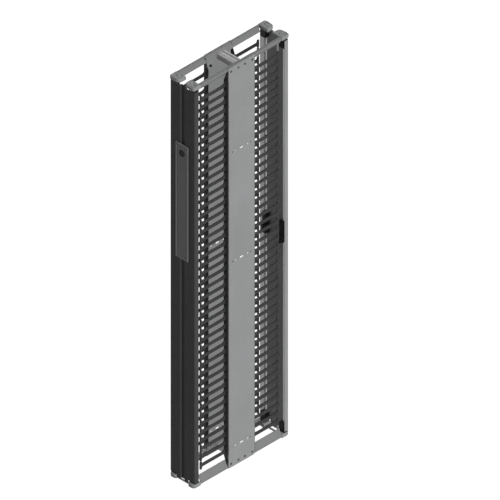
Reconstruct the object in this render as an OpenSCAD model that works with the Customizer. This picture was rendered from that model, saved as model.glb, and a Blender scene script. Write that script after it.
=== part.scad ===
// Double-sided vertical cable manager for equipment racks: an open steel spine with
// T-shaped cable fingers in front and behind, and a dual-latched door on each face.
// Millimetres, +Z up, front towards -Y, origin on the floor under the middle of the body.

/* [Overall] */
// Height over the feet and the top caps
overall_h = 2142; // [1500:1:2400]
// Width over the side faces
overall_w = 152; // [140:1:200]
// Depth over the two closed doors
overall_d = 580; // [560:1:760]
// Height of one rack unit
unit_h = 44.45; // [40:0.05:50]

/* [Spine] */
// Depth of the side panels of the spine
spine_d = 160; // [140:1:200]
// Sheet thickness of the spine panels
panel_t = 2; // [1.5:0.1:3]
// Width of the flange turned inward along each upright edge
panel_flange = 28; // [24:1:34]
// Height of the arms' outer edge above the floor, and below the top
arm_inset = 6.5; // [4:0.5:9]
// Rows of mounting holes: height of the lowest row
row_low = 108.5; // [80:0.5:200]
// Height of the middle row above mid-height
row_mid_up = 27.5; // [0:0.5:100]
// Distance of the upper row below the top
row_high_drop = 458.5; // [300:0.5:600]
// Length of the slot in the middle of each row
slot_len = 20; // [12:1:30]
// Width of that slot
slot_w = 8; // [5:0.5:12]
// Diameter of the round holes in each row
row_hole_d = 7; // [4:0.5:9]
// Spacing of the inner pair of round holes
row_pitch_inner = 76; // [60:1:90]
// Spacing of the outer pair of round holes
row_pitch_outer = 110; // [100:1:126]

/* [Arms and channels] */
// Sheet thickness of the arms and cross channels
arm_t = 2; // [1.5:0.1:3]
// Height of the upright outer lip of an arm
arm_lip_outer = 12; // [8:0.5:16]
// Run of the 45 degree web of an arm
arm_web = 16; // [10:0.5:20]
// Height of the upright inner lip of an arm
arm_lip_inner = 13; // [8:0.5:16]
// Width of the cross channels
channel_w = 38; // [30:1:60]
// Height of the cross channels
channel_h = 27; // [20:1:36]
// Width of the lips of the cross channels
channel_lip = 7; // [4:0.5:10]

/* [Caps and feet] */
// Size of a corner cap across the body
cap_w = 61; // [50:1:66]
// Size of a corner cap from front to back
cap_d = 40; // [36:1:44]
// Thickness of a corner cap or foot
cap_h = 20; // [16:0.5:24]
// Radius of its outer corner
cap_corner_r = 20; // [12:1:24]
// Radius of its inner corner
cap_inner_r = 12; // [6:1:16]
// Radius of the rounded edge round its face
cap_edge_r = 4; // [2:0.5:6]
// Distance of the door pin axis from the side face
pin_side = 21.5; // [19:0.5:23]
// Distance of the door pin axis from the outer face of the door
pin_face = 9; // [8:0.5:10]
// Diameter of the door pins
pin_d = 8; // [6:0.5:9]
// Depth that a thrown pin enters a cap
pin_throw = 12; // [8:0.5:14]
// Diameter of the round hole in each cap
cap_hole_d = 9; // [7:0.5:12]
// Distance of that hole from the side face
cap_hole_side = 42; // [38:0.5:44]
// Distance of that hole from the outer face of the door
cap_hole_face = 20; // [16:0.5:24]
// Diameter of the floor anchor hole in each foot
anchor_d = 8; // [7:0.5:9]
// Distance of the anchor hole from the side face
anchor_side = 30; // [24:0.5:31]
// Distance of the anchor hole from the outer face of the door
anchor_face = 33; // [32:0.5:34]
// Size of a foot across the body
foot_w = 40; // [40:1:56]
// Thickness of the plates that tie the feet
tie_t = 6; // [4:0.5:10]
// Height of these plates above the floor
tie_z = 6; // [4:0.5:10]
// Width of the rim round the opening in each plate
tie_rim = 7; // [5:0.5:9]

/* [Cable fingers] */
// Distance of the finger plane from the side face
finger_side = 15; // [14:0.5:20]
// Clearance between the T heads and the inner faces of the caps
head_clear = 7; // [6:0.5:60]
// Thickness of a finger across the body
finger_w = 5; // [3:0.5:8]
// Height of a finger's stem
finger_h = 16; // [10:0.5:20]
// Radius of the cable rest on top of a finger's root
finger_root_r = 24; // [12:0.5:24]
// Radius of the corners between stem and T head
head_fillet_r = 5; // [2:0.5:7]
// Gap between neighbouring T heads
head_gap = 3.5; // [2:0.5:10]
// Thickness of a T head from front to back
head_t = 7; // [5:0.5:10]
// Radius of the rounded ends of a T head
head_end_r = 3; // [1:0.5:3.4]
// Thickness of the rails that carry the fingers
rail_t = 4; // [3:0.5:6]

/* [Doors] */
// Sheet thickness of the doors
door_t = 2; // [1.2:0.1:2.5]
// Gap between the door and the floor, and between the door and the top
door_gap = 28.5; // [27:0.5:40]
// Depth of the returns along the upright edges
door_return = 25; // [20:1:28]
// Outer radius of the upright edges
door_edge_r = 6; // [3:0.5:8]
// Width of the groove down the middle
groove_w = 28; // [16:1:40]
// Depth of the groove
groove_d = 11; // [6:0.5:12]
// Height of the handle plate on each door
plate_h = 609; // [300:1:800]
// Distance from the door's upper edge down to the handle plate
plate_drop = 309; // [100:1:400]
// Width of the handle plate
plate_w = 75; // [60:1:90]
// How far the rim of the handle plate stands proud of the door
plate_rim_out = 6; // [3:0.5:8]
// Width of the rim of the handle plate
plate_rim_w = 6; // [4:0.5:10]

/* [Latches] */
// Height of the middle of the latches above mid-height
latch_up = 21; // [0:1:60]
// Height of a latch case
latch_h = 120; // [90:1:160]
// Width of a latch case across the door
latch_w = 28; // [27:1:34]
// Depth of a latch case behind the door skin
latch_d = 25; // [18:1:28]
// Height of the thumb tab
tab_h = 30; // [20:1:40]
// Width of the thumb tab
tab_w = 6; // [4:0.5:8]
// How far the thumb tab stands out of its case
tab_out = 9; // [6:0.5:10]
// Height of the grip rib on a latch case
grip_h = 60; // [40:1:70]
// Radial running clearance of the pins in their bores
pin_clear = 0.08; // [0.03:0.01:0.1]

/* [Fasteners] */
// Head diameter of the spine screws
screw_head_d = 9; // [7:0.5:12]
// Head thickness of the spine screws
screw_head_t = 0.8; // [0.5:0.1:1.5]
// Shank diameter of the spine screws
screw_d = 5; // [4:0.5:6]
// Spacing of the inner pair of spine screws
screw_pitch_inner = 40; // [30:1:60]
// Spacing of the outer pair of spine screws
screw_pitch_outer = 130; // [100:1:136]
// Height of the screw row above the arms' outer edge
screw_up = 17; // [15:0.5:22]

/* [Hidden] */
$fn = 48;
cut = 1;                                   // overlap of cutting bodies
side_x = overall_w / 2;                    // side face
front_y = overall_d / 2;                   // outer face of a closed door
spine_y = spine_d / 2;                     // front and rear edge of the spine
mid_h = overall_h / 2;
arm_lo = arm_inset;                        // outer edge of the bottom arms
arm_hi = overall_h - arm_inset;            // outer edge of the top arms
arm_h = arm_lip_outer + arm_web + arm_lip_inner;
cap_y = front_y - cap_d;                   // inner face of the caps
pin_x = side_x - pin_side;
pin_y = front_y - pin_face;
comb_margin = 70;                          // least height kept free above and below the fingers
unit_count = floor((overall_h - 2 * comb_margin) / unit_h);
comb_h = unit_count * unit_h;
comb_z = mid_h - comb_h / 2;               // underside of the finger rails
finger_x = side_x - finger_side;
root_y = spine_y + rail_t;                 // outer face of the rails
head_y = cap_y - head_clear;               // outer face of the T heads
head_h = unit_h - head_gap;
finger_pad_t = 3;                          // foot plate of each finger on its rail
finger_pad_w = 16;
finger_pad_low = 10;                       // foot plate below the middle of its finger
finger_pad_up = 24;                        // and above it
root_rise = finger_root_r - 2.5;           // the cable rest ends in a blunt edge at the foot plate
door_z = door_gap;
door_h = overall_h - 2 * door_gap;
door_in_y = front_y - door_t;              // inner face of the door skin
row_heights = [row_low, mid_h + row_mid_up, overall_h - row_high_drop];
latch_mid = mid_h + latch_up;
latch_z = latch_mid - latch_h / 2;
bolt_margin = 2;                           // a drawn bolt ends this far short of its cap or foot
bolt_travel = pin_throw + bolt_margin;
bolt_gap = bolt_travel + bolt_margin;      // from the latch middle to the end of a thrown bolt
tab_z = latch_mid - bolt_gap - tab_h;      // the tab sits on the end of the lower bolt
tab_clear = 0.5;                           // side clearance of the tab in its slot
grip_w = 7;
grip_d = 9;
block_w = 32;                              // corner block across the door
block_h = 40;                              // corner block height inside the door
block_clear = 1;                           // gap between a corner block and its cap or foot
cap_under = overall_h - cap_h;             // underside of the top caps
bore_spare = 3;                            // depth of a cap's bore beyond the thrown pin
screw_hole_d = screw_d + 0.6;              // clearance holes for the spine screws
steel = "#6f7072";
dark_steel = "#3a3b3d";
black = "#1a1a1b";
zinc = "#b9bbbd";

// ---------- placing helpers ----------

// sx and sy are 1 or -1: right or left, rear or front
module quarter(sx, sy) {
    mirror([sx < 0 ? 1 : 0, 0, 0]) mirror([0, sy < 0 ? 1 : 0, 0]) children();
}

// Turns a top piece over into its bottom twin
module flip_height() {
    translate([0, 0, overall_h]) mirror([0, 0, 1]) children();
}

// The rear door is the front door turned half a turn
module rear_side() {
    rotate([0, 0, 180]) children();
}

// ---------- spine ----------

module slot_hole(length, width) {
    for (sy = [-1, 1]) translate([0, sy * (length - width) / 2, 0])
        rotate([0, 90, 0]) cylinder(h = panel_t + 2 * cut, d = width);
    translate([0, -(length - width) / 2, -width / 2]) cube([panel_t + 2 * cut, length - width, width]);
}

module spine_panel() {
    difference() {
        union() {
            translate([side_x - panel_t, -spine_y, arm_lo]) cube([panel_t, spine_d, arm_hi - arm_lo]);
            for (y = [-spine_y, spine_y - panel_t]) translate([side_x - panel_flange, y, comb_z])
                cube([panel_flange, panel_t, comb_h]);
        }
        for (z = row_heights) translate([side_x - panel_t - cut, 0, z]) {
            slot_hole(slot_len, slot_w);
            for (pitch = [row_pitch_inner, row_pitch_outer], sy = [-1, 1])
                translate([0, sy * pitch / 2, 0]) rotate([0, 90, 0])
                    cylinder(h = panel_t + 2 * cut, d = row_hole_d);
        }
        screw_places() cylinder(h = panel_t + 2 * cut, d = screw_hole_d);
    }
}

// The eight screws of the right side panel, each axis turned to +X and starting inside the sheet
module screw_places() {
    for (z = [arm_lo + screw_up, arm_hi - screw_up], pitch = [screw_pitch_inner, screw_pitch_outer],
         sy = [-1, 1])
        translate([side_x - panel_t - cut, sy * pitch / 2, z]) rotate([0, 90, 0]) children();
}

module spine_screw() {
    translate([0, 0, cut - arm_t]) cylinder(h = panel_t + arm_t, d = screw_d);
    translate([0, 0, cut + panel_t]) cylinder(h = screw_head_t, d = screw_head_d);
}

// ---------- arms: bent sheet with an upright lip, a 45 degree web and an inner lip ----------

module arm_section() {
    web_shift = arm_t * (sqrt(2) - 1);
    polygon([[0, 0], [0, arm_lip_outer], [-arm_web, arm_lip_outer + arm_web], [-arm_web, arm_h],
             [-arm_web - arm_t, arm_h], [-arm_web - arm_t, arm_lip_outer + arm_web - web_shift],
             [-arm_t, arm_lip_outer - web_shift], [-arm_t, 0]]);
}

module bottom_arm() {
    difference() {
        union() {
            for (sy = [-1, 1]) translate([side_x, sy > 0 ? spine_y : -cap_y, arm_lo])
                mirror([0, 1, 0]) rotate([90, 0, 0]) linear_extrude(cap_y - spine_y) arm_section();
            translate([side_x - panel_t - arm_t, -spine_y - arm_t, arm_lo])
                cube([arm_t, spine_d + 2 * arm_t, arm_h]);
        }
        screw_places() translate([0, 0, -arm_t - cut]) cylinder(h = arm_t + 3 * cut, d = screw_hole_d);
    }
}

// ---------- cross channel: an open channel with lips, between the two spine panels ----------

module top_cross_channel_body() {
    inner_x = side_x - panel_t - arm_t;
    top_z = arm_hi;
    translate([-inner_x, 0, top_z - channel_h]) rotate([90, 0, 90]) linear_extrude(2 * inner_x) {
        translate([-channel_w / 2, 0]) square([channel_w, arm_t]);
        for (side = [0, 1]) mirror([side, 0]) {
            translate([channel_w / 2 - arm_t, 0]) square([arm_t, channel_h]);
            translate([channel_w / 2 - channel_lip, channel_h - arm_t]) square([channel_lip, arm_t]);
        }
    }
}

// ---------- corner caps and feet ----------

// Outline of a rear right cap or foot, each side moved in by inset
module cap_outline(width, inset) {
    low_x = side_x - width + inset;
    high_x = side_x - inset;
    low_y = cap_y + inset;
    high_y = front_y - inset;
    outer_r = cap_corner_r - inset;
    inner_r = cap_inner_r - inset;
    difference() {
        translate([low_x, low_y]) square([high_x - low_x, high_y - low_y]);
        translate([high_x - outer_r, high_y - outer_r]) square(outer_r + cut);
        translate([low_x - cut, high_y - inner_r]) square(inner_r + cut);
    }
    translate([high_x - outer_r, high_y - outer_r]) circle(outer_r);
    translate([low_x + inner_r, high_y - inner_r]) circle(inner_r);
}

// Cap body at the rear right top corner, stepped twice for its rounded edge; hole is the
// [x, y, diameter] of its through hole
module cap_body(width, hole) {
    step = cap_edge_r / 2;
    difference() {
        union() {
            translate([0, 0, cap_under]) linear_extrude(cap_h - cap_edge_r) cap_outline(width, 0);
            translate([0, 0, overall_h - cap_edge_r - cut]) linear_extrude(step + cut)
                cap_outline(width, step / 4);
            translate([0, 0, overall_h - step - cut]) linear_extrude(step + cut)
                cap_outline(width, step);
        }
        translate([pin_x, pin_y, cap_under - cut])
            cylinder(h = pin_throw + bore_spare + cut, d = pin_d + 2 * pin_clear);
        translate([hole[0], hole[1], cap_under - cut]) cylinder(h = cap_h + 2 * cut, d = hole[2]);
    }
}

// Plate that ties the two rear feet, with a round-cornered opening
module foot_tie() {
    reach = side_x - foot_w;
    low_y = cap_y + tie_rim;
    opening_l = 2 * (reach - tie_rim);
    opening_w = door_in_y - low_y - 2 * tie_rim;
    opening_r = opening_w / 2;
    translate([0, low_y, tie_z]) linear_extrude(tie_t) difference() {
        translate([-reach, 0]) square([2 * reach, door_in_y - low_y]);
        translate([0, tie_rim + opening_r]) {
            square([opening_l - 2 * opening_r, opening_w], center = true);
            for (side = [-1, 1]) translate([side * (opening_l / 2 - opening_r), 0]) circle(opening_r);
        }
    }
}

// ---------- finger rails and T fingers ----------

module rail() {
    translate([side_x - panel_flange, spine_y, comb_z]) cube([panel_flange, rail_t, comb_h]);
}

// Side view of a finger: stem, cable rest above the root, T head with round ends
module finger_outline() {
    stem_y = root_y + finger_pad_t;
    neck_y = head_y - head_t;
    translate([stem_y - cut, -finger_h / 2]) square([neck_y - stem_y + 2 * cut, finger_h]);
    difference() {
        translate([stem_y - cut, finger_h / 2 - cut]) square([finger_root_r + cut, root_rise + cut]);
        translate([stem_y + finger_root_r, finger_h / 2 + finger_root_r]) circle(finger_root_r, $fn = 96);
    }
    for (sz = [-1, 1]) difference() {
        translate([neck_y - head_fillet_r, sz > 0 ? finger_h / 2 - cut : -finger_h / 2 - head_fillet_r])
            square([head_fillet_r + cut, head_fillet_r + cut]);
        translate([neck_y - head_fillet_r, sz * (finger_h / 2 + head_fillet_r)]) circle(head_fillet_r);
    }
    translate([neck_y, -head_h / 2 + head_end_r]) square([head_t, head_h - 2 * head_end_r]);
    for (sz = [-1, 1]) {
        for (y = [neck_y + head_end_r, head_y - head_end_r])
            translate([y, sz * (head_h / 2 - head_end_r)]) circle(head_end_r);
        translate([neck_y + head_end_r, sz * (head_h - head_end_r) / 2 - head_end_r / 2])
            square([head_t - 2 * head_end_r, head_end_r]);
    }
}

// One finger of the rear right column, at height zero, on its foot plate
module finger() {
    translate([finger_x - finger_w / 2, 0, 0]) rotate([90, 0, 90]) linear_extrude(finger_w) finger_outline();
    translate([finger_x - finger_pad_w / 2, root_y, -finger_pad_low])
        cube([finger_pad_w, finger_pad_t, finger_pad_low + finger_pad_up]);
}

module finger_column() {
    for (i = [0 : unit_count - 1])
        translate([0, 0, comb_z + (i + 0.5) * unit_h]) finger();
}

// ---------- doors, drawn at the rear right in +Y and turned into place ----------

module door_section() {
    half = groove_w / 2;
    difference() {
        union() {
            translate([-side_x + door_edge_r, front_y - door_return])
                square([overall_w - 2 * door_edge_r, door_return]);
            translate([-side_x, front_y - door_return])
                square([overall_w, door_return - door_edge_r]);
            for (sx = [-1, 1]) translate([sx * (side_x - door_edge_r), front_y - door_edge_r])
                circle(door_edge_r);
        }
        difference() {
            union() {
                translate([-side_x + door_edge_r, front_y - door_return - cut])
                    square([overall_w - 2 * door_edge_r, door_return + cut - door_t]);
                translate([-side_x + door_t, front_y - door_return - cut])
                    square([overall_w - 2 * door_t, door_return + cut - door_edge_r]);
                for (sx = [-1, 1]) translate([sx * (side_x - door_edge_r), front_y - door_edge_r])
                    circle(door_edge_r - door_t);
            }
            translate([-half - door_t, front_y - groove_d - door_t])
                square([groove_w + 2 * door_t, groove_d + door_t]);
        }
        translate([-half, front_y - groove_d]) square([groove_w, groove_d + cut]);
    }
}

module door_skin() {
    translate([0, 0, door_z]) linear_extrude(door_h) door_section();
}

module handle_plate() {
    rim_y = front_y + plate_rim_out;
    low_z = door_z + door_h - plate_drop - plate_h;
    difference() {
        translate([-plate_w / 2, front_y, low_z]) cube([plate_w, plate_rim_out, plate_h]);
        translate([-plate_w / 2 + plate_rim_w, front_y + plate_rim_out / 2, low_z + plate_rim_w])
            cube([plate_w - 2 * plate_rim_w, plate_rim_out, plate_h - 2 * plate_rim_w]);
    }
}

// Outline of a block that lies in the right corner of the door skin
module corner_fit(width, depth) {
    outer_x = side_x - door_t;
    corner_r = door_edge_r - door_t + 0.5;
    difference() {
        translate([outer_x - width, door_in_y - depth]) square([width, depth]);
        translate([outer_x - corner_r, door_in_y - corner_r]) square(corner_r + cut);
    }
    translate([outer_x - corner_r, door_in_y - corner_r]) circle(corner_r);
}

// Blocks in the four corners of a door; the pins run through them
module corner_blocks() {
    for (side = [0, 1], top = [0, 1]) mirror([side, 0, 0]) {
        low = top > 0 ? door_z + door_h - block_h : cap_h + block_clear;
        high = top > 0 ? cap_under - block_clear : door_z + block_h;
        difference() {
            translate([0, 0, low]) linear_extrude(high - low) corner_fit(block_w, latch_d);
            translate([pin_x, pin_y, low - cut])
                cylinder(h = high - low + 2 * cut, d = pin_d + 2 * pin_clear);
        }
    }
}

// Latch case at the right edge: a block with a through bore for the two bolts,
// a slot for the thumb tab and a grip rib on its inner face
module latch_case() {
    outer_x = side_x - door_t;
    difference() {
        union() {
            translate([0, 0, latch_z]) linear_extrude(latch_h) corner_fit(latch_w, latch_d);
            translate([pin_x - grip_w / 2, door_in_y - latch_d - grip_d, latch_z + latch_h - grip_h])
                cube([grip_w, grip_d + cut, grip_h]);
        }
        translate([pin_x, pin_y, latch_z - cut]) cylinder(h = latch_h + 2 * cut, d = pin_d + 2 * pin_clear);
        translate([pin_x - tab_w / 2 - tab_clear, door_in_y - latch_d - cut, tab_z - tab_clear])
            cube([tab_w + 2 * tab_clear, latch_d + cut - pin_face + door_t,
                  tab_h + bolt_travel + 2 * tab_clear]);
    }
}

// Bolts of the right edge; draw is how far they are drawn back towards the latch
module upper_bolt(draw) {
    translate([pin_x, pin_y, latch_mid + bolt_gap - draw])
        cylinder(h = cap_under + pin_throw - latch_mid - bolt_gap, d = pin_d);
}

module lower_bolt(draw) {
    translate([0, 0, draw]) {
        translate([pin_x, pin_y, cap_h - pin_throw])
            cylinder(h = latch_mid - bolt_gap - cap_h + pin_throw, d = pin_d);
        translate([pin_x - tab_w / 2, door_in_y - latch_d - tab_out, tab_z])
            cube([tab_w, latch_d + tab_out - pin_face + door_t, tab_h]);
    }
}

// ---------- nodes ----------

module spine_panel_right() { color(steel) spine_panel(); }
module spine_panel_left() { color(steel) quarter(-1, 1) spine_panel(); }
module bottom_arm_right() { color(steel) bottom_arm(); }
module bottom_arm_left() { color(steel) quarter(-1, 1) bottom_arm(); }
module top_arm_right() { color(steel) flip_height() bottom_arm(); }
module top_arm_left() { color(steel) flip_height() quarter(-1, 1) bottom_arm(); }
module bottom_cross_channel() { color(zinc) flip_height() top_cross_channel_body(); }
module top_cross_channel() { color(zinc) top_cross_channel_body(); }
module cap(sx, sy) {
    color(steel) quarter(sx, sy)
        cap_body(cap_w, [side_x - cap_hole_side, front_y - cap_hole_face, cap_hole_d]);
}
module foot(sx, sy) {
    color(steel) flip_height() quarter(sx, sy)
        cap_body(foot_w, [side_x - anchor_side, front_y - anchor_face, anchor_d]);
}
module rail_at(sx, sy) { color(black) quarter(sx, sy) rail(); }
module fingers_at(sx, sy) { color(black) quarter(sx, sy) finger_column(); }
module spine_screws() {
    color(black) for (side = [0, 1]) mirror([side, 0, 0]) screw_places() spine_screw();
}

// Door pieces are drawn for the rear door; side is 1 for its right edge seen from the front
module skin() { color(dark_steel) door_skin(); }
module case_at(side) { color(black) quarter(side, 1) latch_case(); }
module upper_at(side, draw) { color(zinc) quarter(side, 1) upper_bolt(draw); }
module lower_at(side, draw) { color(zinc) quarter(side, 1) lower_bolt(draw); }

spine_panel_left();
spine_panel_right();
top_arm_left();
top_arm_right();
bottom_arm_left();
bottom_arm_right();
top_cross_channel();
bottom_cross_channel();
cap(-1, -1);  // top_cap_front_left
cap(1, -1);  // top_cap_front_right
cap(-1, 1);  // top_cap_rear_left
cap(1, 1);  // top_cap_rear_right
foot(-1, -1);  // foot_front_left
foot(1, -1);  // foot_front_right
foot(-1, 1);  // foot_rear_left
foot(1, 1);  // foot_rear_right
color(steel) quarter(1, -1) foot_tie();  // foot_tie_front
color(steel) foot_tie();  // foot_tie_rear
rail_at(-1, -1);  // rail_front_left
rail_at(1, -1);  // rail_front_right
rail_at(-1, 1);  // rail_rear_left
rail_at(1, 1);  // rail_rear_right
fingers_at(-1, -1);  // fingers_front_left
fingers_at(1, -1);  // fingers_front_right
fingers_at(-1, 1);  // fingers_rear_left
fingers_at(1, 1);  // fingers_rear_right
spine_screws();
rear_side() skin();  // front_door_skin
color(steel) rear_side() handle_plate();  // front_handle_plate
color(black) rear_side() corner_blocks();  // front_corner_blocks
rear_side() case_at(1);  // front_latch_case_left
rear_side() case_at(-1);  // front_latch_case_right
rear_side() upper_at(1, 0);  // front_upper_bolt_left
rear_side() upper_at(-1, bolt_travel);  // front_upper_bolt_right
rear_side() lower_at(1, 0);  // front_lower_bolt_left
rear_side() lower_at(-1, bolt_travel);  // front_lower_bolt_right
skin();  // rear_door_skin
color(steel) handle_plate();  // rear_handle_plate
color(black) corner_blocks();  // rear_corner_blocks
case_at(-1);  // rear_latch_case_left
case_at(1);  // rear_latch_case_right
upper_at(-1, bolt_travel);  // rear_upper_bolt_left
upper_at(1, 0);  // rear_upper_bolt_right
lower_at(-1, bolt_travel);  // rear_lower_bolt_left
lower_at(1, 0);  // rear_lower_bolt_right
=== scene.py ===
import math

import bmesh
import bpy
from mathutils import Matrix, Vector


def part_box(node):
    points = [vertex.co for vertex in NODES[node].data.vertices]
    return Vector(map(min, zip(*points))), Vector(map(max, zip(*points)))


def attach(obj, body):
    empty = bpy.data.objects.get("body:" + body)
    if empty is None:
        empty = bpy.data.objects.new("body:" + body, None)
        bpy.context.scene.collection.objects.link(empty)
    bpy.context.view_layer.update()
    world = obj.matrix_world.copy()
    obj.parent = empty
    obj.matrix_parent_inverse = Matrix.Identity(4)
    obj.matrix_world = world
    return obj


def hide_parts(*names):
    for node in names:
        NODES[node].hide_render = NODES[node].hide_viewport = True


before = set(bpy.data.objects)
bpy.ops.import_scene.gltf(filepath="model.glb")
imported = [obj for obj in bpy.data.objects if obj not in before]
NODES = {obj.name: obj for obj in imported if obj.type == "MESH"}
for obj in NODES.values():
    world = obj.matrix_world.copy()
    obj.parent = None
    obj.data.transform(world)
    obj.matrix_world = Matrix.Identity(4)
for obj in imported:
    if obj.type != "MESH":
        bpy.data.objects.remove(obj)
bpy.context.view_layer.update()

MM = 0.001
SIDES = {"left": -1, "right": 1}
ENDS = {"front": -1, "rear": 1}
LEVELS = {"bottom": -1, "top": 1}


def cad_box(node):
    """Lowest and highest corners of a CAD node in millimetres."""
    low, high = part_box(node)
    return [c / MM for c in low], [c / MM for c in high]


SIDE_X = cad_box("spine_panel_right")[1][0]
FRONT_Y = cad_box("rear_door_skin")[1][1]
TOP_Z = cad_box("top_cap_rear_right")[1][2]
MID_Z = TOP_Z / 2


# ---------- materials ----------

class Shader:
    """A Principled material and short ways to add its nodes."""

    def __init__(self, name, roughness, metallic=0.0, specular=0.5):
        self.material = bpy.data.materials.new(name)
        self.material.use_nodes = True
        self.tree = self.material.node_tree
        self.principled = self.tree.nodes["Principled BSDF"]
        self.principled.inputs["Roughness"].default_value = roughness
        self.principled.inputs["Metallic"].default_value = metallic
        self.principled.inputs["Specular IOR Level"].default_value = specular
        self.place = self.node("ShaderNodeTexCoord").outputs["Object"]

    def node(self, kind, **settings):
        made = self.tree.nodes.new(kind)
        for key, value in settings.items():
            setattr(made, key, value)
        return made

    def link(self, a, b):
        self.tree.links.new(a, b)

    def noise(self, scale, detail=2.0, stretch=(1, 1, 1)):
        mapping = self.node("ShaderNodeMapping")
        mapping.inputs["Scale"].default_value = stretch
        self.link(self.place, mapping.inputs["Vector"])
        noise = self.node("ShaderNodeTexNoise")
        noise.inputs["Scale"].default_value = scale
        noise.inputs["Detail"].default_value = detail
        self.link(mapping.outputs[0], noise.inputs["Vector"])
        return noise.outputs["Fac"]

    def ramp(self, value, *stops):
        ramp = self.node("ShaderNodeValToRGB")
        while len(ramp.color_ramp.elements) < len(stops):
            ramp.color_ramp.elements.new(0.5)
        for element, (position, colour) in zip(ramp.color_ramp.elements, stops):
            element.position = position
            element.color = (*colour, 1)
        self.link(value, ramp.inputs["Fac"])
        return ramp.outputs["Color"]

    def vary(self, value, low, high):
        spread = self.node("ShaderNodeMapRange")
        spread.inputs["From Min"].default_value = 0.35
        spread.inputs["From Max"].default_value = 0.65
        spread.inputs["To Min"].default_value = low
        spread.inputs["To Max"].default_value = high
        self.link(value, spread.inputs["Value"])
        return spread.outputs["Result"]

    def colour(self, output):
        self.link(output, self.principled.inputs["Base Color"])

    def roughness(self, output):
        self.link(output, self.principled.inputs["Roughness"])

    def bump(self, height, depth, strength=1.0):
        bump = self.node("ShaderNodeBump")
        bump.inputs["Distance"].default_value = depth
        bump.inputs["Strength"].default_value = strength
        self.link(height, bump.inputs["Height"])
        self.link(bump.outputs["Normal"], self.principled.inputs["Normal"])


def grey(value, warm=0.0):
    """Linear colour of a grey given as 0 to 255 on screen; warm tints it."""
    level = value / 255
    linear = level / 12.92 if level < 0.04045 else ((level + 0.055) / 1.055) ** 2.4
    return (linear * (1 + warm), linear, linear * (1 - warm))


def powder_coat(name, shade, roughness=0.55, spread=3, warm=-0.01, specular=0.2):
    """Powder-coated steel: fine orange peel and faint cloudiness."""
    shader = Shader(name, roughness, specular=specular)
    cloud = shader.noise(6, 3)
    shader.colour(shader.ramp(cloud, (0.3, grey(shade - spread, warm)), (0.7, grey(shade + spread, warm))))
    shader.roughness(shader.vary(shader.noise(40, 4), roughness - 0.05, roughness + 0.06))
    shader.bump(shader.noise(900, 2), 0.00012, 0.35)
    return shader.material


def moulded_black(name, shade, roughness=0.42, grain=1400):
    """Moulded plastic with a fine leathery grain."""
    shader = Shader(name, roughness, specular=0.12)
    cloud = shader.noise(14, 3)
    shader.colour(shader.ramp(cloud, (0.3, grey(shade - 3)), (0.7, grey(shade + 3))))
    shader.roughness(shader.vary(shader.noise(60, 4), roughness - 0.06, roughness + 0.08))
    shader.bump(shader.noise(grain, 3), 0.00008, 0.4)
    return shader.material


def zinc_plate(name, shade):
    """Zinc-plated steel: bright, with drawn streaks and a mottled sheen."""
    shader = Shader(name, 0.42, metallic=0.2, specular=0.25)
    streaks = shader.noise(60, 4, (1, 1, 0.04))
    shader.colour(shader.ramp(streaks, (0.3, grey(shade - 8, 0.01)), (0.7, grey(shade + 6, -0.01))))
    shader.roughness(shader.vary(shader.noise(25, 4), 0.26, 0.44))
    shader.bump(streaks, 0.00005, 0.3)
    return shader.material


STEEL = powder_coat("steel_grey", 142)
# The arms have the same powder coat as the steel, painted darker as painted shade on their webs and lips.
ARM_PAINTED_SHADE_STEEL = powder_coat("arm_steel_painted_shade", 124)
DOOR = powder_coat("door_dark", 66, 0.5, 2, specular=0.06)
PLATE = powder_coat("handle_plate_grey", 108, 0.45, 2, specular=0.1)
PLASTIC = moulded_black("finger_plastic", 50)
LATCH = moulded_black("latch_plastic", 14, 0.5)
SCREW = moulded_black("black_oxide", 16, 0.45, 500)
ZINC = zinc_plate("zinc", 184)


def paint(node, material):
    NODES[node].data.materials.clear()
    NODES[node].data.materials.append(material)


for name in NODES:
    if name.startswith(("spine_panel", "top_arm", "bottom_arm", "top_cap", "foot")):
        paint(name, STEEL)
    elif "cross_channel" in name or "bolt" in name:
        paint(name, ZINC)
    elif name.startswith(("rail", "fingers")):
        paint(name, PLASTIC)
    elif name == "spine_screws":
        paint(name, SCREW)
    elif "handle_plate" in name:
        paint(name, PLATE)
    elif "corner_blocks" in name or "latch_case" in name:
        paint(name, LATCH)
paint("front_door_skin", DOOR)
paint("rear_door_skin", STEEL)


# ---------- outlines: lists of points in a plane, in millimetres ----------

def arc(centre, radius, start, end, steps=8):
    """Points along an arc, its angles in degrees."""
    angles = [math.radians(start + (end - start) * i / steps) for i in range(steps + 1)]
    return [(centre[0] + radius * math.cos(a), centre[1] + radius * math.sin(a)) for a in angles]


def circle(centre, radius, steps=32):
    return arc(centre, radius, 0, 360 - 360 / steps, steps - 1)


def rounded_rectangle(low, high, radii, steps=8):
    """Rectangle whose corner radii are given from the lower left, anticlockwise."""
    corners = [(low[0], low[1], 1, 1, 180), (high[0], low[1], -1, 1, 270),
               (high[0], high[1], -1, -1, 0), (low[0], high[1], 1, -1, 90)]
    points = []
    for (x, y, dx, dy, start), radius in zip(corners, radii):
        points += arc((x + dx * radius, y + dy * radius), radius, start, start + 90, steps)
    return points


def round_path(points, radius, steps=4):
    """An open path with its bends rounded."""
    rounded = [Vector(points[0])]
    for before, corner, after in zip(points, points[1:], points[2:]):
        before, corner, after = Vector(before), Vector(corner), Vector(after)
        to_before = (before - corner).normalized()
        to_after = (after - corner).normalized()
        half = to_before.angle(to_after) / 2
        start = corner + to_before * radius / math.tan(half)
        end = corner + to_after * radius / math.tan(half)
        centre = corner + (to_before + to_after).normalized() * radius / math.sin(half)
        for i in range(steps + 1):
            spoke = (start - centre).slerp(end - centre, i / steps)
            rounded.append(centre + spoke)
    rounded.append(Vector(points[-1]))
    return rounded


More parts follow.
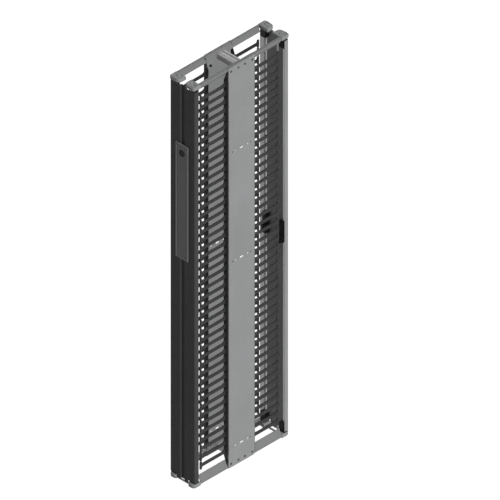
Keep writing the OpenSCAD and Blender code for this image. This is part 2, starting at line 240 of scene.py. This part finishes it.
def thicken(path, thickness):
    """Closed outline of a sheet that follows a path and lies to its left."""
    inner = []
    for i, point in enumerate(path):
        before = (point - path[i - 1]).normalized() if i > 0 else None
        after = (path[i + 1] - point).normalized() if i < len(path) - 1 else None
        along = (before or after) + (after or before)
        normal = Vector((-along.y, along.x)).normalized()
        stretch = 1 / max(normal.dot(Vector((-(before or after).y, (before or after).x))), 0.5)
        inner.append(point + normal * thickness * stretch)
    return [tuple(p) for p in path + inner[::-1]]


# ---------- meshes ----------

def finish_mesh(name, mesh, material, smooth_angle=35):
    """Merges, turns the normals out, smooths the round faces and makes the object."""
    work = bmesh.new()
    work.from_mesh(mesh)
    bmesh.ops.remove_doubles(work, verts=work.verts, dist=1e-6)
    bmesh.ops.recalc_face_normals(work, faces=work.faces)
    for face in work.faces:
        face.smooth = True
    work.to_mesh(mesh)
    work.free()
    mesh.set_sharp_from_angle(angle=math.radians(smooth_angle))
    mesh.materials.clear()
    mesh.materials.append(material)
    piece = bpy.data.objects.new(name, mesh)
    bpy.context.collection.objects.link(piece)
    return piece


PLANES = {"X": lambda a, b, c: (c, a, b), "Y": lambda a, b, c: (a, c, b), "Z": lambda a, b, c: (a, b, c)}


def prism_mesh(outline, axis, low, high):
    """Prism of a closed outline along an axis; the outline's plane is the other two axes in order."""
    place = PLANES[axis]
    mesh = bpy.data.meshes.new("prism")
    work = bmesh.new()
    rings = [[work.verts.new([v * MM for v in place(a, b, c)]) for a, b in outline] for c in (low, high)]
    work.faces.new(rings[0][::-1])
    work.faces.new(rings[1])
    for i in range(len(outline)):
        j = (i + 1) % len(outline)
        work.faces.new((rings[0][i], rings[0][j], rings[1][j], rings[1][i]))
    work.to_mesh(mesh)
    work.free()
    return mesh


def plate_mesh(outlines, thickness, edge):
    """Flat plate about z = 0 with holes, all its edges rounded; the first outline is the outer one."""
    curve = bpy.data.curves.new("plate", "CURVE")
    curve.dimensions = "2D"
    curve.fill_mode = "BOTH"
    curve.extrude = (thickness / 2 - edge) * MM
    curve.bevel_depth = edge * MM
    curve.bevel_resolution = 3
    curve.offset = -edge * MM
    for outline in outlines:
        spline = curve.splines.new("POLY")
        spline.points.add(len(outline) - 1)
        for point, (x, y) in zip(spline.points, outline):
            point.co = (x * MM, y * MM, 0, 1)
        spline.use_cyclic_u = True
    holder = bpy.data.objects.new("plate", curve)
    bpy.context.collection.objects.link(holder)
    mesh = bpy.data.meshes.new_from_object(holder.evaluated_get(bpy.context.evaluated_depsgraph_get()))
    bpy.data.objects.remove(holder)
    bpy.data.curves.remove(curve)
    return mesh


def join_meshes(name, meshes_and_places):
    """One mesh of several, each moved by its matrix."""
    joined = bpy.data.meshes.new(name)
    work = bmesh.new()
    for mesh, place in meshes_and_places:
        moved = mesh.copy()
        moved.transform(place)
        if place.determinant() < 0:
            moved.flip_normals()
        work.from_mesh(moved)
        bpy.data.meshes.remove(moved)
    work.to_mesh(joined)
    work.free()
    return joined


def shift(x, y, z):
    return Matrix.Translation((x * MM, y * MM, z * MM))


def flip(x=1, y=1, z=1):
    return Matrix.Diagonal((x, y, z, 1))


def revolve_mesh(profile, steps=32):
    """Closed turned shape about +Z from a profile of (radius, height) points that starts and ends on the axis."""
    mesh = bpy.data.meshes.new("turned")
    work = bmesh.new()
    rings = []
    for radius, height in profile:
        if radius == 0:
            rings.append([work.verts.new((0, 0, height * MM))])
            continue
        rings.append([work.verts.new((radius * MM * math.cos(2 * math.pi * i / steps),
                                      radius * MM * math.sin(2 * math.pi * i / steps), height * MM))
                      for i in range(steps)])
    for lower, upper in zip(rings, rings[1:]):
        for i in range(steps):
            j = (i + 1) % steps
            corners = [lower[i % len(lower)], lower[j % len(lower)], upper[j % len(upper)], upper[i % len(upper)]]
            unique = list(dict.fromkeys(corners))
            if len(unique) > 2:
                work.faces.new(unique)
    work.to_mesh(mesh)
    work.free()
    return mesh


def add_piece(name, parts, material, body, replaced=None, edge=0):
    """A piece made of (mesh, place) parts, riding on its body and standing for a CAD node."""
    piece = finish_mesh(name, join_meshes(name, parts), material)
    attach(piece, body)
    if replaced:
        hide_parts(replaced)
    if edge:
        soften(piece, edge)
    return piece


def soften(piece, width, segments=2):
    """Rounds the sharp edges of a piece by a bevel, which leaves its faces where they are."""
    bevel = piece.modifiers.new("edge", "BEVEL")
    bevel.width = width * MM
    bevel.segments = segments
    bevel.limit_method = "ANGLE"
    bevel.angle_limit = math.radians(40)
    bevel.harden_normals = False


# ---------- arms: bent sheet with a flange, an upright lip, a sloping web and an inner lip ----------

SPINE_Y = cad_box("spine_panel_right")[1][1]
CAP_Y = cad_box("top_cap_rear_right")[0][1]
PANEL_T = 2
ARM_T = 2
ARM_INSET = {"bottom": 4, "top": 1}
ARM_FLANGE = 15
ARM_LIP = 14
ARM_WEB = 16
ARM_INNER_LIP = {"bottom": 15, "top": 5}
ARM_BEND_R = 3
ARM_GAP = 0.6
STRIP_H = 36


def make_arm(level, side):
    """One arm from cap to cap; it steps in behind the side panel, to a flat strip for the screws."""
    node = f"{level}_arm_{side}"
    up = -LEVELS[level]
    edge_z = ARM_INSET[level] if level == "bottom" else TOP_Z - ARM_INSET[level]
    turn = ARM_LIP + ARM_WEB
    section = [(-ARM_FLANGE, 0), (0, 0), (0, ARM_LIP), (-ARM_WEB, turn), (-ARM_WEB, turn + ARM_INNER_LIP[level])]
    sheet = thicken(round_path(section, ARM_BEND_R), ARM_T)
    strip = [(-ARM_T, ARM_T), (0, ARM_T), (0, STRIP_H), (-ARM_T, STRIP_H)]

    def placed(outline, outer_x):
        return [(SIDES[side] * (outer_x + a), edge_z + up * b) for a, b in outline]

    inner_x = SIDE_X - PANEL_T
    parts = [prism_mesh(placed(sheet, SIDE_X), "Y", sy * (SPINE_Y + ARM_GAP), sy * (CAP_Y - ARM_GAP))
             for sy in ENDS.values()]
    parts += [prism_mesh(placed(sheet, inner_x), "Y", -SPINE_Y, SPINE_Y),
              prism_mesh(placed(strip, inner_x), "Y", -SPINE_Y, SPINE_Y)]
    add_piece(node + "_sheet", [(part, Matrix()) for part in parts], ARM_PAINTED_SHADE_STEEL, "frame", node, 0.5)


# ---------- spine panels ----------

PANEL_INSET = {"bottom": 4, "top": 2.5}
PANEL_FLANGE = 28
PANEL_ROWS = (108.5, MID_Z + 27.5, TOP_Z - 458.5)
ROW_SLOT = (20, 8)
ROW_HOLE_R = 3.5
ROW_PITCHES = (76, 110)
COMB = cad_box("fingers_rear_right")
RAIL = cad_box("rail_rear_right")


def make_panel(side):
    """Side panel with its three rows of slots and holes, and the flanges behind the finger rails."""
    node = f"spine_panel_{side}"
    low_z, high_z = PANEL_INSET["bottom"], TOP_Z - PANEL_INSET["top"]
    outlines = [rounded_rectangle((-SPINE_Y, low_z), (SPINE_Y, high_z), (2, 2, 2, 2), 3)]
    for z in PANEL_ROWS:
        slot_l, slot_h = ROW_SLOT
        outlines.append(rounded_rectangle((-slot_l / 2, z - slot_h / 2), (slot_l / 2, z + slot_h / 2),
                                          [slot_h / 2] * 4))
        for pitch in ROW_PITCHES:
            outlines += [circle((y, z), ROW_HOLE_R, 20) for y in (-pitch / 2, pitch / 2)]
    upright = Matrix(((0, 0, 1, 0), (1, 0, 0, 0), (0, 1, 0, 0), (0, 0, 0, 1)))
    outward = flip(x=SIDES[side])
    parts = [(plate_mesh(outlines, PANEL_T, 0.4), outward @ shift(SIDE_X - PANEL_T / 2, 0, 0) @ upright)]
    for sy in ENDS.values():
        flange = [(SIDE_X - PANEL_FLANGE, SPINE_Y - PANEL_T), (SIDE_X, SPINE_Y - PANEL_T),
                  (SIDE_X, SPINE_Y), (SIDE_X - PANEL_FLANGE, SPINE_Y)]
        parts.append((prism_mesh(flange, "Z", RAIL[0][2], RAIL[1][2]), outward @ flip(y=sy)))
    add_piece(node + "_sheet", parts, STEEL, "frame", node)


NUT_R = 5
NUT_H = 7
NUT_Y = 44.5
NUT_Z = (32, 2066)


def make_panel_nuts():
    """Black cap nuts inside the side panels, near their front edges."""
    nut = revolve_mesh([(0, 0), (NUT_R + 1.5, 0), (NUT_R + 1.5, 1), (NUT_R, 1.4), (NUT_R, NUT_H - 2),
                        (NUT_R - 1.5, NUT_H - 0.5), (NUT_R - 3, NUT_H), (0, NUT_H)], 24)
    inward = Matrix.Rotation(math.radians(-90), 4, "Y")
    parts = [(nut, flip(x=sx) @ shift(SIDE_X - PANEL_T - ARM_T, -NUT_Y, z) @ inward)
             for sx in SIDES.values() for z in NUT_Z]
    add_piece("panel_nuts", parts, SCREW, "frame")


# ---------- cross channels ----------

CHANNEL_W = 42
CHANNEL_H = 30
CHANNEL_T = 2
CHANNEL_STEP_W = 9
CHANNEL_STEP = 2.5
CHANNEL_FRONT_LIP = 26
CHANNEL_REAR_LIP = 10
CHANNEL_RETURN = 12
CHANNEL_DROP = 12
CHANNEL_REACH = 56


def make_cross_channel(level):
    """Lipped channel between the two arms, its slot towards the rear."""
    node = f"{level}_cross_channel"
    half = CHANNEL_W / 2
    path = [(half - CHANNEL_REAR_LIP, -CHANNEL_RETURN), (half - CHANNEL_REAR_LIP, 0), (half, 0),
            (half, -CHANNEL_H), (-half, -CHANNEL_H), (-half, -CHANNEL_STEP),
            (-half + CHANNEL_STEP_W, -CHANNEL_STEP), (-half + CHANNEL_STEP_W, 0), (-half + CHANNEL_FRONT_LIP, 0)]
    sheet = thicken(round_path(path, 1), -CHANNEL_T)
    if level == "bottom":
        outline = [(y, CHANNEL_DROP - z) for y, z in sheet]
    else:
        outline = [(y, TOP_Z - CHANNEL_DROP + z) for y, z in sheet]
    part = prism_mesh(outline, "X", -CHANNEL_REACH, CHANNEL_REACH)
    add_piece(node + "_sheet", [(part, Matrix())], ZINC, "frame", node, 0.3)


# ---------- corner caps and feet ----------

CAP_PROUD = 5.5
CAP_EDGE = 4
CAP_RADII = {"top": (9, 20), "bottom": (16, 12)}
BOSS_R = 9.5
BOSS_GAP = 1
BOSS_RISE = 1
PIN_BORE_R = 4.6
PIN_SIDE = 21.5
PIN_FACE = 9
CAP_HOLE_R = 4
CAP_HOLE_SIDE = 37
CAP_HOLE_FACE = 27
ANCHOR_R = 4
ANCHOR_SIDE = 30
ANCHOR_FACE = 33


def make_foot(end, side):
    """Rounded block with the floor anchor's hole."""
    node = f"foot_{end}_{side}"
    low, high = cad_box("foot_rear_right")
    thickness = high[2] - low[2]
    outline = rounded_rectangle((low[0], low[1]), (SIDE_X, FRONT_Y + CAP_PROUD), (3, 3, *CAP_RADII["bottom"]))
    anchor = circle((SIDE_X - ANCHOR_SIDE, FRONT_Y - ANCHOR_FACE), ANCHOR_R, 24)
    place = flip(SIDES[side], ENDS[end]) @ shift(0, 0, low[2] + thickness / 2)
    add_piece(node + "_block", [(plate_mesh([outline, anchor], thickness, CAP_EDGE), place)], STEEL,
              "frame", node)


def make_top_cap(end, side):
    """Rounded block with a hole, and the boss of the door pin in its own opening."""
    node = f"top_cap_{end}_{side}"
    low, high = cad_box("top_cap_rear_right")
    thickness = high[2] - low[2] - BOSS_RISE
    outline = rounded_rectangle((low[0], low[1]), (SIDE_X, FRONT_Y + CAP_PROUD), (3, 3, *CAP_RADII["top"]))
    pin = (SIDE_X - PIN_SIDE, FRONT_Y - PIN_FACE)
    holes = [circle(pin, BOSS_R + BOSS_GAP),
             circle((SIDE_X - CAP_HOLE_SIDE, FRONT_Y - CAP_HOLE_FACE), CAP_HOLE_R, 20)]
    turned = flip(SIDES[side], ENDS[end])
    block = plate_mesh([outline] + holes, thickness, CAP_EDGE)
    add_piece(node + "_block", [(block, turned @ shift(0, 0, low[2] + thickness / 2))], STEEL,
              "frame", node)
    height = thickness + BOSS_RISE
    rim = [(PIN_BORE_R, 0), (BOSS_R, 0), (BOSS_R, height - 1.5), (BOSS_R - 1.5, height),
           (PIN_BORE_R + 1.2, height), (PIN_BORE_R, height - 1.2), (PIN_BORE_R, 0)]
    add_piece(node + "_boss", [(revolve_mesh(rim), turned @ shift(*pin, low[2]))], STEEL, "frame")


# ---------- spine screws ----------

SCREW_HEAD_R = 5.5
SCREW_HEAD_T = 0.8
SCREW_SOCKET_R = 1.9
SCREW_PITCHES = (40, 130)
SCREW_ROW_Z = 23.5


def make_spine_screws():
    """Low heads with a hexagon socket, in a row of four at each end of both side panels."""
    head = plate_mesh([circle((0, 0), SCREW_HEAD_R, 28), circle((0, 0), SCREW_SOCKET_R, 6)], SCREW_HEAD_T, 0.35)
    shank = revolve_mesh([(0, -6), (2.4, -6), (2.4, -0.2), (0, -0.2)], 20)
    facing = Matrix.Rotation(math.radians(90), 4, "Y")
    parts = []
    for sx in SIDES.values():
        out = flip(x=sx) @ shift(SIDE_X, 0, 0)
        for z in (SCREW_ROW_Z, TOP_Z - SCREW_ROW_Z):
            for y in [sign * pitch / 2 for pitch in SCREW_PITCHES for sign in (-1, 1)]:
                parts.append((head, out @ shift(SCREW_HEAD_T / 2, y, z) @ facing))
                parts.append((shank, out @ shift(0, y, z) @ facing))
    add_piece("spine_screw_heads", parts, SCREW, "frame", "spine_screws")


# ---------- finger rails and T fingers ----------

UNIT_H = 44.45
UNIT_COUNT = round((RAIL[1][2] - RAIL[0][2]) / UNIT_H)
RAIL_TAPER = 58
RAIL_TIP_W = 5
FINGER_X = (COMB[0][0] + COMB[1][0]) / 2
FINGER_W = 5
FINGER_H = 16
FINGER_ROOT_R = 24
HEAD_GAP = 3.5
HEAD_T = 11
HEAD_END_R = 3
HEAD_FILLET_R = 7
PAD_T = 3
PAD_W = 16
PAD_LOW = 10
PAD_UP = 24


def make_rail(end, side):
    """Flat rail whose ends taper towards the side panel."""
    node = f"rail_{end}_{side}"
    low, high = RAIL
    tip_x = high[0] - PANEL_T
    outline = [(low[0], low[2]), (tip_x - RAIL_TIP_W, low[2] - RAIL_TAPER), (tip_x, low[2] - RAIL_TAPER),
               (tip_x, high[2] + RAIL_TAPER), (tip_x - RAIL_TIP_W, high[2] + RAIL_TAPER), (low[0], high[2])]
    part = prism_mesh(outline, "Y", low[1], high[1])
    add_piece(node + "_plate", [(part, flip(SIDES[side], ENDS[end]))], PLASTIC, "frame", node, 0.8)


def finger_outline():
    """Side view of a finger at height zero: stem, cable rest above the root, T head with round ends."""
    root_y = RAIL[1][1] + PAD_T
    head_y = COMB[1][1]
    neck_y = head_y - HEAD_T
    half, tip, fillet = FINGER_H / 2, (UNIT_H - HEAD_GAP) / 2, HEAD_FILLET_R
    points = [(root_y, -half)]
    points += arc((neck_y - fillet, -half - fillet), fillet, 90, 0, 5)
    points += arc((neck_y + HEAD_END_R, -tip + HEAD_END_R), HEAD_END_R, 180, 270, 4)
    points += arc((head_y - HEAD_END_R, -tip + HEAD_END_R), HEAD_END_R, 270, 360, 4)
    points += arc((head_y - HEAD_END_R, tip - HEAD_END_R), HEAD_END_R, 0, 90, 4)
    points += arc((neck_y + HEAD_END_R, tip - HEAD_END_R), HEAD_END_R, 90, 180, 4)
    points += arc((neck_y - fillet, half + fillet), fillet, 0, -90, 5)
    points += arc((root_y + FINGER_ROOT_R, half + FINGER_ROOT_R), FINGER_ROOT_R, 270, 190, 8)
    points.append((root_y, points[-1][1]))
    return points


def make_fingers(end, side):
    """A column of one finger per rack unit, each on its foot plate."""
    node = f"fingers_{end}_{side}"
    finger = prism_mesh(finger_outline(), "X", FINGER_X - FINGER_W / 2, FINGER_X + FINGER_W / 2)
    pad_outline = rounded_rectangle((FINGER_X - PAD_W / 2, -PAD_LOW), (FINGER_X + PAD_W / 2, PAD_UP), (3,) * 4, 3)
    pad = prism_mesh(pad_outline, "Y", RAIL[1][1], RAIL[1][1] + PAD_T)
    turned = flip(SIDES[side], ENDS[end])
    parts = []
    for i in range(UNIT_COUNT):
        up = turned @ shift(0, 0, RAIL[0][2] + (i + 0.5) * UNIT_H)
        parts += [(finger, up), (pad, up)]
    add_piece(node + "_comb", parts, PLASTIC, "frame", node, 0.9)


# ---------- doors ----------

DOOR_T = 2
APRON_GAP = 0.6
APRON_SIDE = 41
GROOVE_W = 28
GROOVE_D = 11
BADGE_R = 17
BADGE_T = 1.6
BADGE_DROP = 46
PLATE_FACE_OUT = 3


def make_apron(end):
    """Lower edge of the door's middle, which reaches down between the feet."""
    reach = SIDE_X - APRON_SIDE
    half = GROOVE_W / 2
    path = [(-reach, 0), (-half, 0), (-half, -GROOVE_D), (half, -GROOVE_D), (half, 0), (reach, 0)]
    outline = [(x, FRONT_Y + y) for x, y in thicken([Vector(point) for point in path], -DOOR_T)]
    part = prism_mesh(outline, "Z", cad_box("foot_tie_rear")[1][2] + APRON_GAP, cad_box(f"{end}_door_skin")[0][2])
    finish, slot = (DOOR, "door_dark") if end == "front" else (STEEL, "steel_grey")
    add_piece(f"{end}_apron", [(part, flip(y=ENDS[end]))], finish, f"{end}_door")


def make_badge(end):
    """Bare round badge on the handle plate."""
    disc = revolve_mesh([(0, 0), (BADGE_R, 0), (BADGE_R, BADGE_T - 0.6), (BADGE_R - 0.8, BADGE_T),
                         (BADGE_R - 2.6, BADGE_T), (BADGE_R - 3.2, BADGE_T - 0.7), (0, BADGE_T - 0.7)], 48)
    high_z = cad_box(f"{end}_handle_plate")[1][2]
    facing = Matrix.Rotation(math.radians(-90), 4, "X")
    place = flip(y=ENDS[end]) @ shift(0, FRONT_Y + PLATE_FACE_OUT, high_z - BADGE_DROP) @ facing
    add_piece(f"{end}_badge", [(disc, place)], LATCH, f"{end}_door")


# ---------- latches, drawn at the rear right edge and turned into place ----------

LATCH_CASE_X = (37, 63)
LATCH_CASE_D = 24
LATCH_CASE_LOW = 8
LATCH_CASE_HIGH = 10
LEVER_X = (40, 60)
LEVER_D = 10
LEVER_H = 38
LEVER_BELOW = 8
SIDE_TAB_X = 73
SIDE_TAB_H = 18
PIN_R = 4


def make_latch(end, side):
    """Case with a grip edge, and the lever that draws the lower bolt."""
    node = f"{end}_latch_case_{side}"
    turned = flip(SIDES[side], ENDS[end])
    low, high = cad_box(node)
    inner_y = FRONT_Y - DOOR_T
    face_y = inner_y - LATCH_CASE_D
    case_low, case_high = low[2] - LATCH_CASE_LOW + 4, high[2] - LATCH_CASE_HIGH
    outline = rounded_rectangle((LATCH_CASE_X[0], case_low), (LATCH_CASE_X[1], case_high), (4, 4, 4, 4), 5)
    lying = Matrix(((1, 0, 0, 0), (0, 0, 1, 0), (0, 1, 0, 0), (0, 0, 0, 1)))
    case = plate_mesh([outline], LATCH_CASE_D, 2.5)
    add_piece(node + "_moulding", [(case, turned @ shift(0, face_y + LATCH_CASE_D / 2, 0) @ lying)], LATCH,
              f"{end}_door", node)
    bolt = f"{end}_lower_bolt_{side}"
    bolt_low, bolt_high = cad_box(bolt)
    top_z = bolt_high[2] - LEVER_BELOW
    lever_outline = rounded_rectangle((LEVER_X[0], top_z - LEVER_H), (LEVER_X[1], top_z), (5, 5, 3, 3), 5)
    tab_outline = rounded_rectangle((LEVER_X[1] - 3, top_z - SIDE_TAB_H), (SIDE_TAB_X, top_z), (2, 4, 4, 2), 4)
    parts = [(plate_mesh([lever_outline], LEVER_D, 2), turned @ shift(0, face_y - LEVER_D / 2 - 0.3, 0) @ lying),
             (plate_mesh([tab_outline], 8, 1.5), turned @ shift(0, face_y - 3, 0) @ lying)]
    rib = rounded_rectangle((LEVER_X[0] + 3, 0), (LEVER_X[1] - 3, 1.6), (0.7,) * 4, 3)
    for i in range(4):
        z = top_z - LEVER_H + 6 + 4 * i
        parts.append((plate_mesh([rib], 1.6, 0.5), turned @ shift(0, face_y - LEVER_D - 0.6, z) @ lying))
    add_piece(bolt + "_lever", parts, LATCH, bolt)
    pin = (SIDE_X - PIN_SIDE, FRONT_Y - PIN_FACE)
    rod_h = top_z - bolt_low[2]
    rod = revolve_mesh([(0, 0), (PIN_R - 1.5, 0), (PIN_R, 1.5), (PIN_R, rod_h), (0, rod_h)], 28)
    add_piece(bolt + "_rod", [(rod, turned @ shift(*pin, bolt_low[2]))], ZINC, bolt, bolt)


# ---------- floor, light and camera ----------

def background_switch(tree, seen, unseen):
    """Shader that shows one look to the eye, to gloss and to glass, and another to light."""
    path = tree.nodes.new("ShaderNodeLightPath")
    either = tree.nodes.new("ShaderNodeMath")
    either.operation = "MAXIMUM"
    tree.links.new(path.outputs["Is Camera Ray"], either.inputs[0])
    tree.links.new(path.outputs["Is Glossy Ray"], either.inputs[1])
    any_of = tree.nodes.new("ShaderNodeMath")
    any_of.operation = "MAXIMUM"
    tree.links.new(either.outputs[0], any_of.inputs[0])
    tree.links.new(path.outputs["Is Transmission Ray"], any_of.inputs[1])
    pick = tree.nodes.new("ShaderNodeMixShader")
    tree.links.new(any_of.outputs[0], pick.inputs["Fac"])
    tree.links.new(unseen.outputs[0], pick.inputs[1])
    tree.links.new(seen.outputs[0], pick.inputs[2])
    return pick


def make_floor():
    mesh = bpy.data.meshes.new("floor")
    size = 30
    mesh.from_pydata([(-size, -size, 0), (size, -size, 0), (size, size, 0), (-size, size, 0)], [], [(0, 1, 2, 3)])
    floor = bpy.data.objects.new("floor", mesh)
    bpy.context.collection.objects.link(floor)
    material = bpy.data.materials.new("floor_white")
    material.use_nodes = True
    tree = material.node_tree
    shader = tree.nodes["Principled BSDF"]
    shader.inputs["Base Color"].default_value = (0.5, 0.5, 0.5, 1)
    shader.inputs["Roughness"].default_value = 0.9
    shader.inputs["Specular IOR Level"].default_value = 0.1
    glow = tree.nodes.new("ShaderNodeEmission")
    glow.inputs["Strength"].default_value = 0.75
    dark = tree.nodes.new("ShaderNodeEmission")
    dark.inputs["Strength"].default_value = 0
    both = tree.nodes.new("ShaderNodeAddShader")
    tree.links.new(shader.outputs[0], both.inputs[0])
    tree.links.new(background_switch(tree, glow, dark).outputs[0], both.inputs[1])
    tree.links.new(both.outputs[0], tree.nodes["Material Output"].inputs["Surface"])
    mesh.materials.append(material)


def make_world(strength):
    world = bpy.data.worlds.new("studio")
    bpy.context.scene.world = world
    world.use_nodes = True
    tree = world.node_tree
    light = tree.nodes["Background"]
    light.inputs["Color"].default_value = (1, 1, 1, 1)
    light.inputs["Strength"].default_value = strength
    white = tree.nodes.new("ShaderNodeBackground")
    white.inputs["Strength"].default_value = 1
    switch = background_switch(tree, white, light)
    tree.links.new(switch.outputs[0], tree.nodes["World Output"].inputs["Surface"])


def make_sun(name, direction, energy, angle, shadow):
    sun = bpy.data.lights.new(name, "SUN")
    sun.energy = energy
    sun.angle = math.radians(angle)
    sun.use_shadow = shadow
    holder = bpy.data.objects.new(name, sun)
    holder.rotation_euler = Vector(direction).to_track_quat("Z", "Y").to_euler()
    bpy.context.collection.objects.link(holder)


def make_camera():
    """Orthographic, looking down along the diagonal that shows front, right side and top alike."""
    toward = Vector((1, -1, 1)).normalized()
    right = Vector((1, 1, 0)).normalized()
    up = toward.cross(right)
    aim = 0.0901 * right + 0.8943 * up
    camera = bpy.data.cameras.new("camera")
    camera.type = "ORTHO"
    camera.ortho_scale = 2.1811
    camera.clip_end = 100
    holder = bpy.data.objects.new("camera", camera)
    bpy.context.collection.objects.link(holder)
    holder.matrix_world = Matrix.Translation(aim + 8 * toward) @ Matrix((right, up, toward)).transposed().to_4x4()
    bpy.context.scene.camera = holder


make_floor()
make_world(0.2)
make_sun("key", (0.80, -0.05, 0.44), 2.45, 10, False)
make_sun("key_shadow", (0.80, -0.05, 0.44), 0.3, 25, True)
make_sun("back_fill", (-0.6, 0.7, 0.1), 0.8, 20, False)
make_camera()
bpy.context.scene.view_settings.view_transform = "Standard"

for side in SIDES:
    make_panel(side)
    for level in LEVELS:
        make_arm(level, side)
    for end in ENDS:
        make_top_cap(end, side)
        make_foot(end, side)
        make_rail(end, side)
        make_fingers(end, side)
        make_latch(end, side)
for level in LEVELS:
    make_cross_channel(level)
make_panel_nuts()
make_spine_screws()
for end in ENDS:
    make_apron(end)
    make_badge(end)

for name in NODES:
    if "door_skin" in name or "foot_tie" in name:
        soften(NODES[name], 0.5)
    elif "corner_blocks" in name or "handle_plate" in name:
        soften(NODES[name], 0.8)
